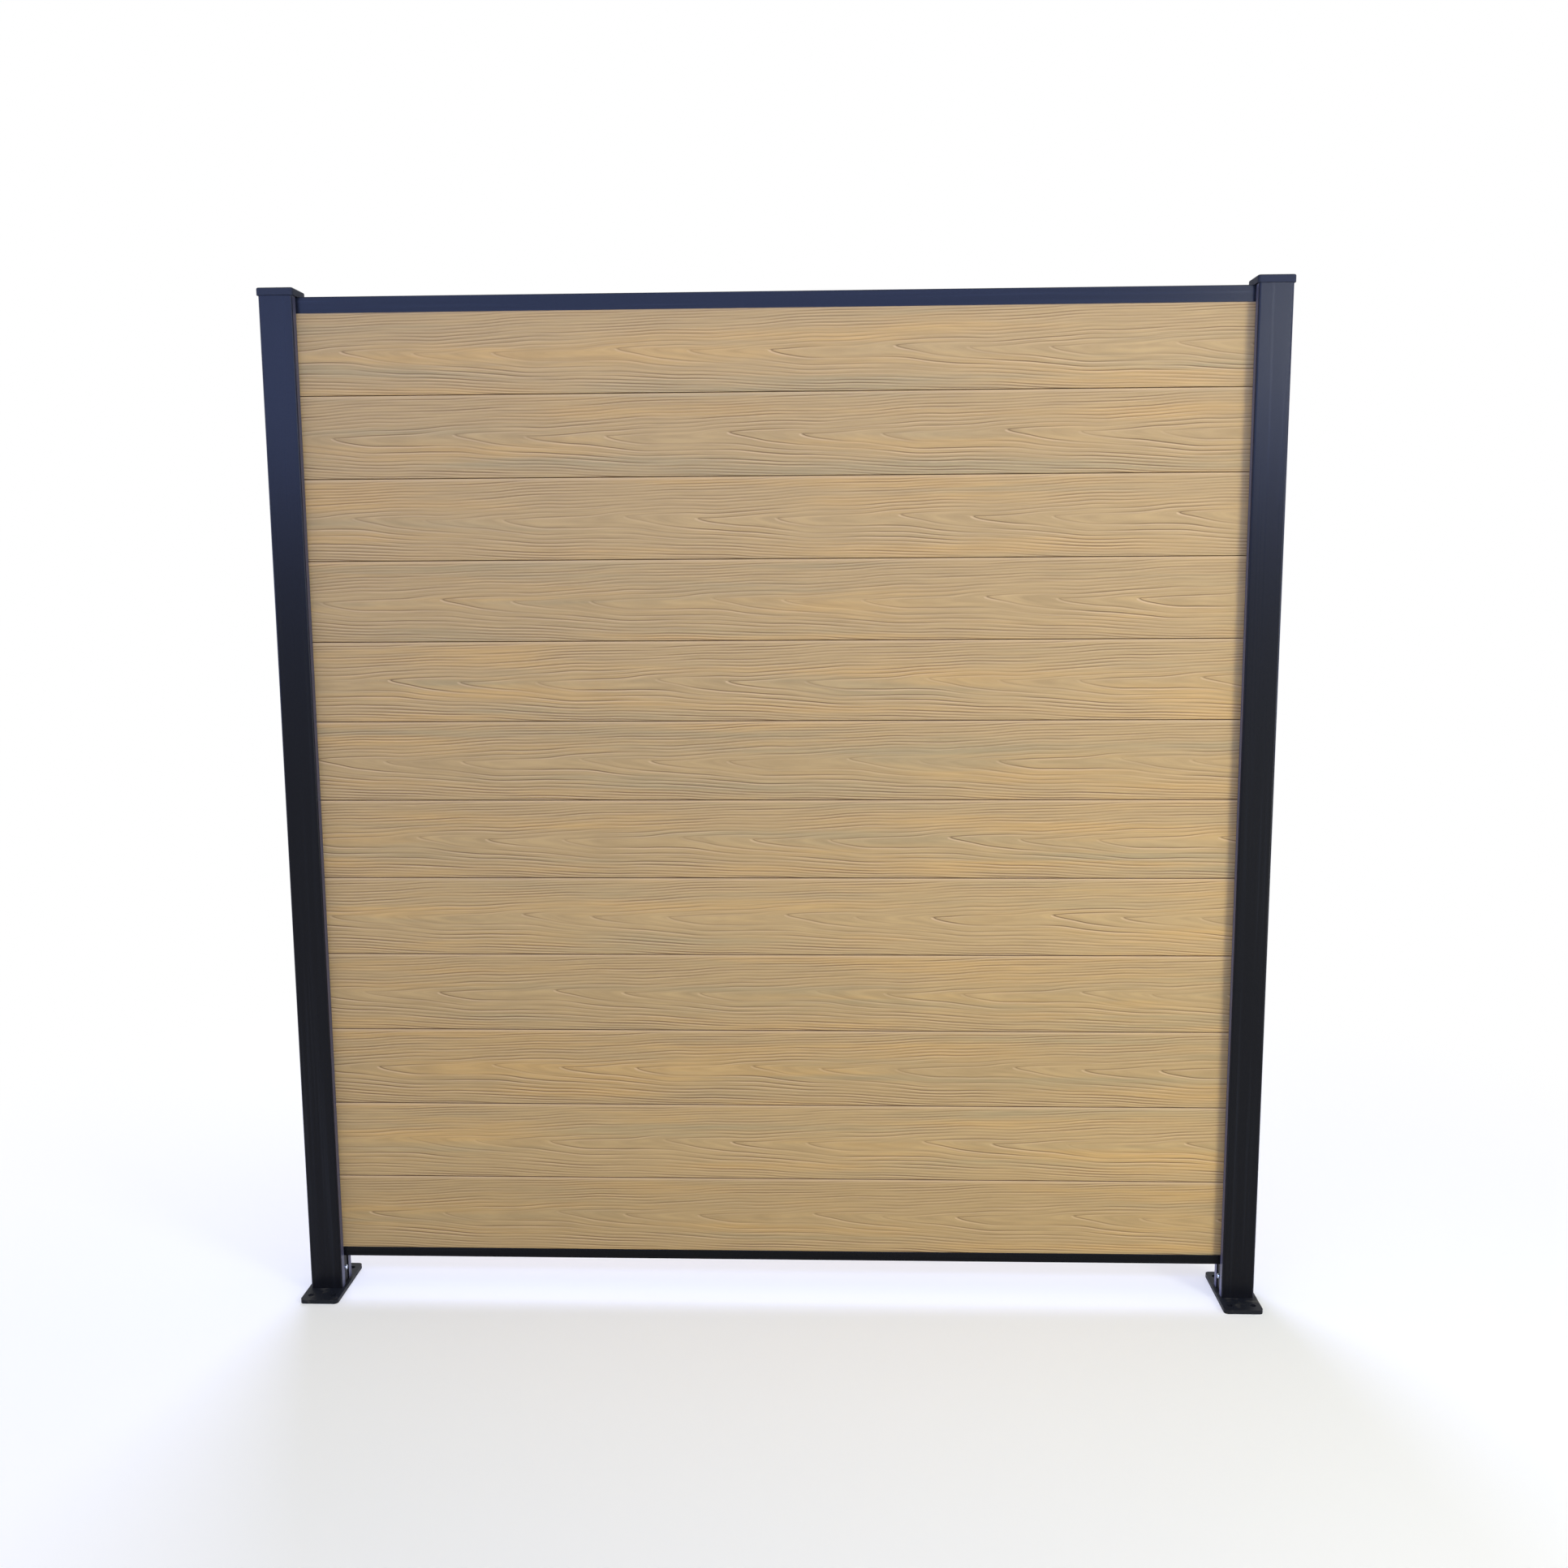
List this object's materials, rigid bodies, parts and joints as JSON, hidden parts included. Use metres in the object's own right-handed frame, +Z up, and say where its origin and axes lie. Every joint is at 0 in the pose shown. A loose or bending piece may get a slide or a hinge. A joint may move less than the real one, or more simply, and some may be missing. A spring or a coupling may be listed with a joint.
{
  "type": "fence panel",
  "caption": "Privacy fence panel of wood-look tongue-and-groove composite boards stacked between two dark slotted aluminium posts, with rails, post caps and bolt-down feet.",
  "frame": {"origin": "on the ground, midway between the two posts and under the middle of the boards' thickness", "axes": "+X along the fence to the right, seen from the front; -Y to the front; +Z up"},
  "size_m": [1.864, 0.16, 1.925],
  "materials": {
    "composite_board": "matte",
    "powder_coated_aluminium": "matte",
    "powder_coated_steel": "matte",
    "cap_plastic": "satin",
    "gasket_rubber": "matte",
    "block_nylon": "satin",
    "zinc_plated_steel": "satin"
  },
  "bodies": {
    "root": {"board_01": "composite_board", "board_02": "composite_board", "board_03": "composite_board", "board_04": "composite_board", "board_05": "composite_board", "board_06": "composite_board", "board_07": "composite_board", "board_08": "composite_board", "board_09": "composite_board", "board_10": "composite_board", "board_11": "composite_board", "board_12": "composite_board", "bottom_rail": "powder_coated_aluminium", "foot_screws": "zinc_plated_steel", "left_back_gasket": "gasket_rubber", "left_front_gasket": "gasket_rubber", "left_post": "powder_coated_aluminium", "left_post_cap": "cap_plastic", "left_post_foot": "powder_coated_steel", "left_slot_cover": "powder_coated_aluminium", "left_support_block": "block_nylon", "right_back_gasket": "gasket_rubber", "right_front_gasket": "gasket_rubber", "right_post": "powder_coated_aluminium", "right_post_cap": "cap_plastic", "right_post_foot": "powder_coated_steel", "right_slot_cover": "powder_coated_aluminium", "right_support_block": "block_nylon", "support_screws": "zinc_plated_steel", "top_rail": "powder_coated_aluminium"}
  },
  "joints": []
}
